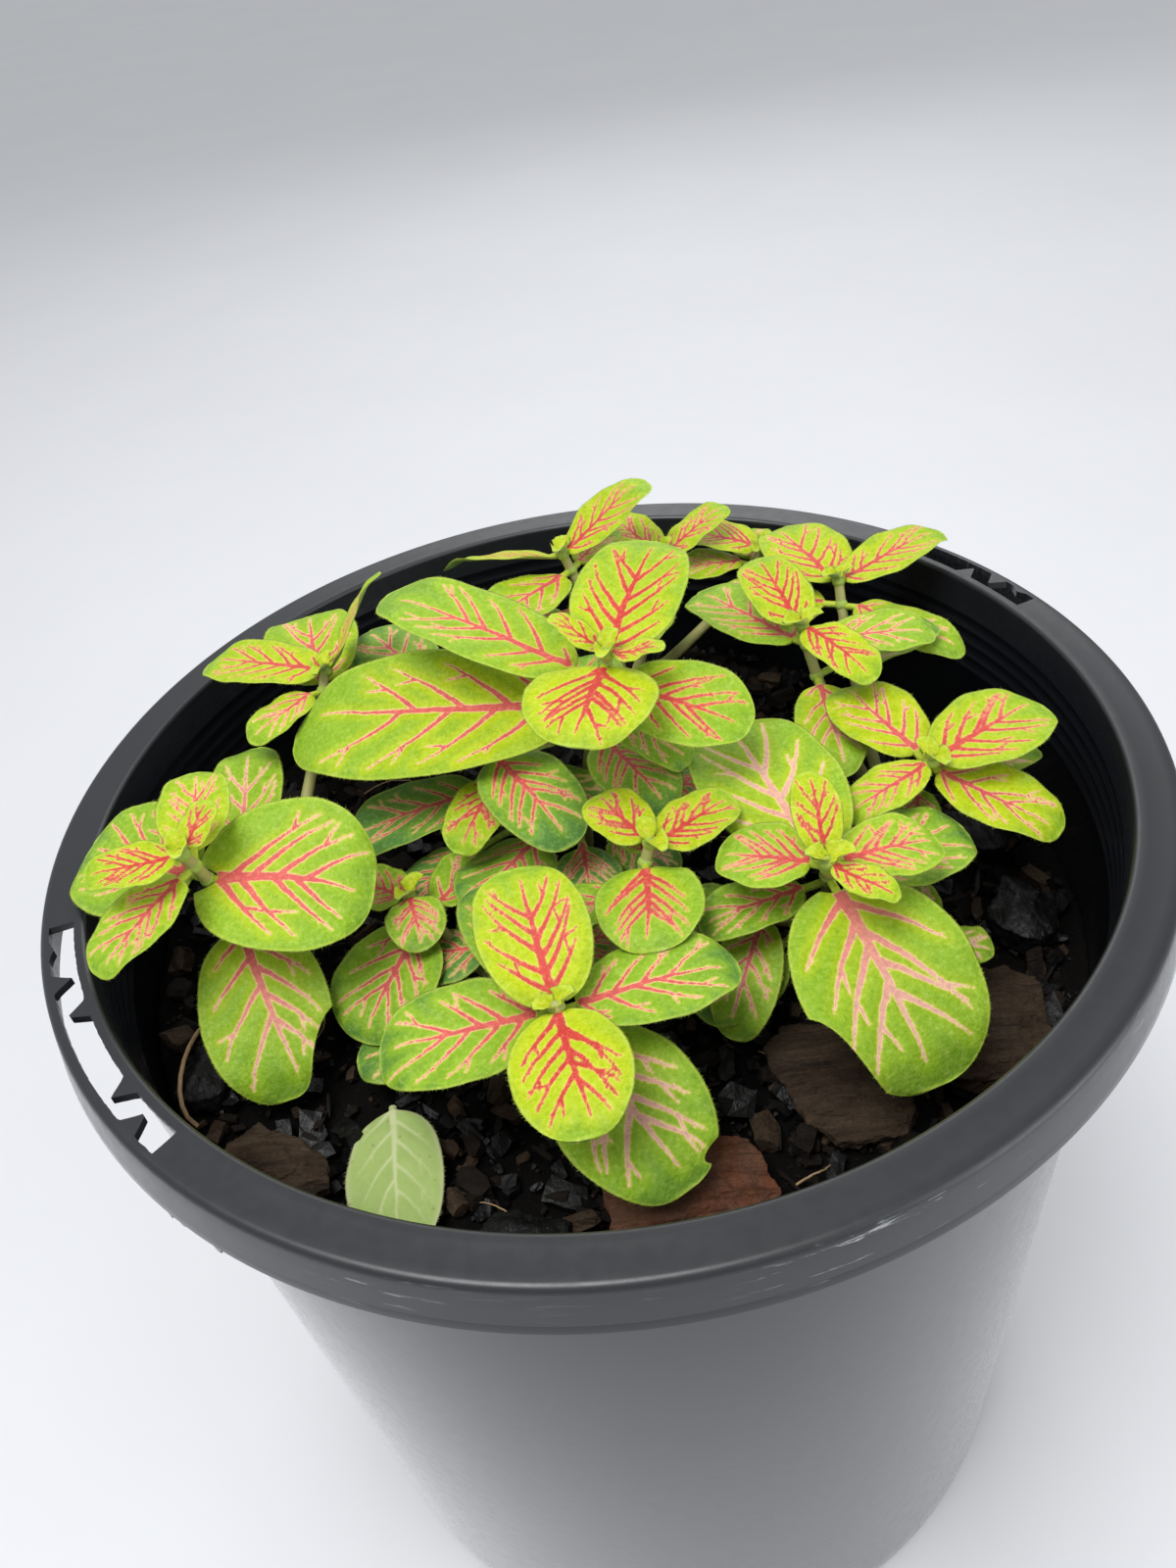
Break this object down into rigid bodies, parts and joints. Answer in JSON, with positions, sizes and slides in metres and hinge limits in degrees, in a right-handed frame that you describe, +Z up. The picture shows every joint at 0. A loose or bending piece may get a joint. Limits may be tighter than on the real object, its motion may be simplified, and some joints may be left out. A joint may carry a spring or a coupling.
{
  "type": "potted nerve plant",
  "caption": "Nerve plant with opposite veined leaves on creeping stems, planted in bark mix in a round flared plastic nursery pot with a flat slotted rim.",
  "frame": {"origin": "centre of the pot's flat underside, where it stands", "axes": "+Z up along the pot's axis; -Y is the side the plant is seen from; the rim's two slots lie towards -X and +X"},
  "size_m": [0.2026, 0.2026, 0.2257],
  "materials": {
    "pot_plastic": "satin black moulded plastic, scuffed on the rim",
    "potting_mix": "moist dark bark and charcoal crumbs",
    "bark": "rough layered bark",
    "charcoal": "broken charcoal with a dull sheen",
    "leaf_lime": "young lime leaf with rose red veins, satin",
    "leaf_green": "full-grown green leaf with pink veins, satin",
    "leaf_dark": "shaded dark green leaf with pink veins, satin",
    "dry_leaf": "dropped leaf, pale and limp",
    "dry_root": "dry root fibre",
    "stem": "soft hairy green stem"
  },
  "bodies": {
    "root": {"bark_chip_front": "bark", "bark_chip_left": "bark", "bark_chip_middle": "bark", "bark_chip_right": "bark", "charcoal_back": "charcoal", "charcoal_front": "charcoal", "charcoal_left": "charcoal", "charcoal_right": "charcoal", "fallen_leaf": "dry_leaf", "leaf_pair_centre_1": "leaf_lime", "leaf_pair_centre_2": "leaf_lime", "leaf_pair_centre_3": "leaf_green", "leaf_pair_crown_1": "leaf_lime", "leaf_pair_crown_2": "leaf_lime", "leaf_pair_crown_3": "leaf_green", "leaf_pair_crown_4": "leaf_green", "leaf_pair_crown_5": "leaf_green", "leaf_pair_dark_1": "leaf_dark", "leaf_pair_dark_2": "leaf_dark", "leaf_pair_east_1": "leaf_lime", "leaf_pair_east_2": "leaf_lime", "leaf_pair_east_3": "leaf_green", "leaf_pair_far_1": "leaf_lime", "leaf_pair_far_2": "leaf_lime", "leaf_pair_farcentre_1": "leaf_lime", "leaf_pair_farcentre_2": "leaf_lime", "leaf_pair_farmid_1": "leaf_lime", "leaf_pair_farmid_2": "leaf_lime", "leaf_pair_farright_1": "leaf_lime", "leaf_pair_farright_2": "leaf_lime", "leaf_pair_front_1": "leaf_lime", "leaf_pair_front_2": "leaf_lime", "leaf_pair_front_3": "leaf_green", "leaf_pair_left_1": "leaf_lime", "leaf_pair_left_2": "leaf_lime", "leaf_pair_left_3": "leaf_green", "leaf_pair_left_4": "leaf_green", "leaf_pair_low_1": "leaf_dark", "leaf_pair_mid_1": "leaf_lime", "leaf_pair_mid_2": "leaf_lime", "leaf_pair_mid_3": "leaf_green", "leaf_pair_mid_4": "leaf_green", "leaf_pair_midleft_1": "leaf_dark", "leaf_pair_midleft_2": "leaf_dark", "leaf_pair_midleft_3": "leaf_dark", "leaf_pair_ne_1": "leaf_lime", "leaf_pair_ne_2": "leaf_lime", "leaf_pair_ne_3": "leaf_green", "leaf_pair_nw_1": "leaf_lime", "leaf_pair_nw_2": "leaf_lime", "leaf_pair_seedling_1": "leaf_dark", "pot": "pot_plastic", "potting_mix": "potting_mix", "root_fibre": "dry_root", "stem_back": "stem", "stem_crown": "stem", "stem_east": "stem", "stem_front": "stem", "stem_left": "stem", "stem_mid": "stem"}
  },
  "joints": []
}
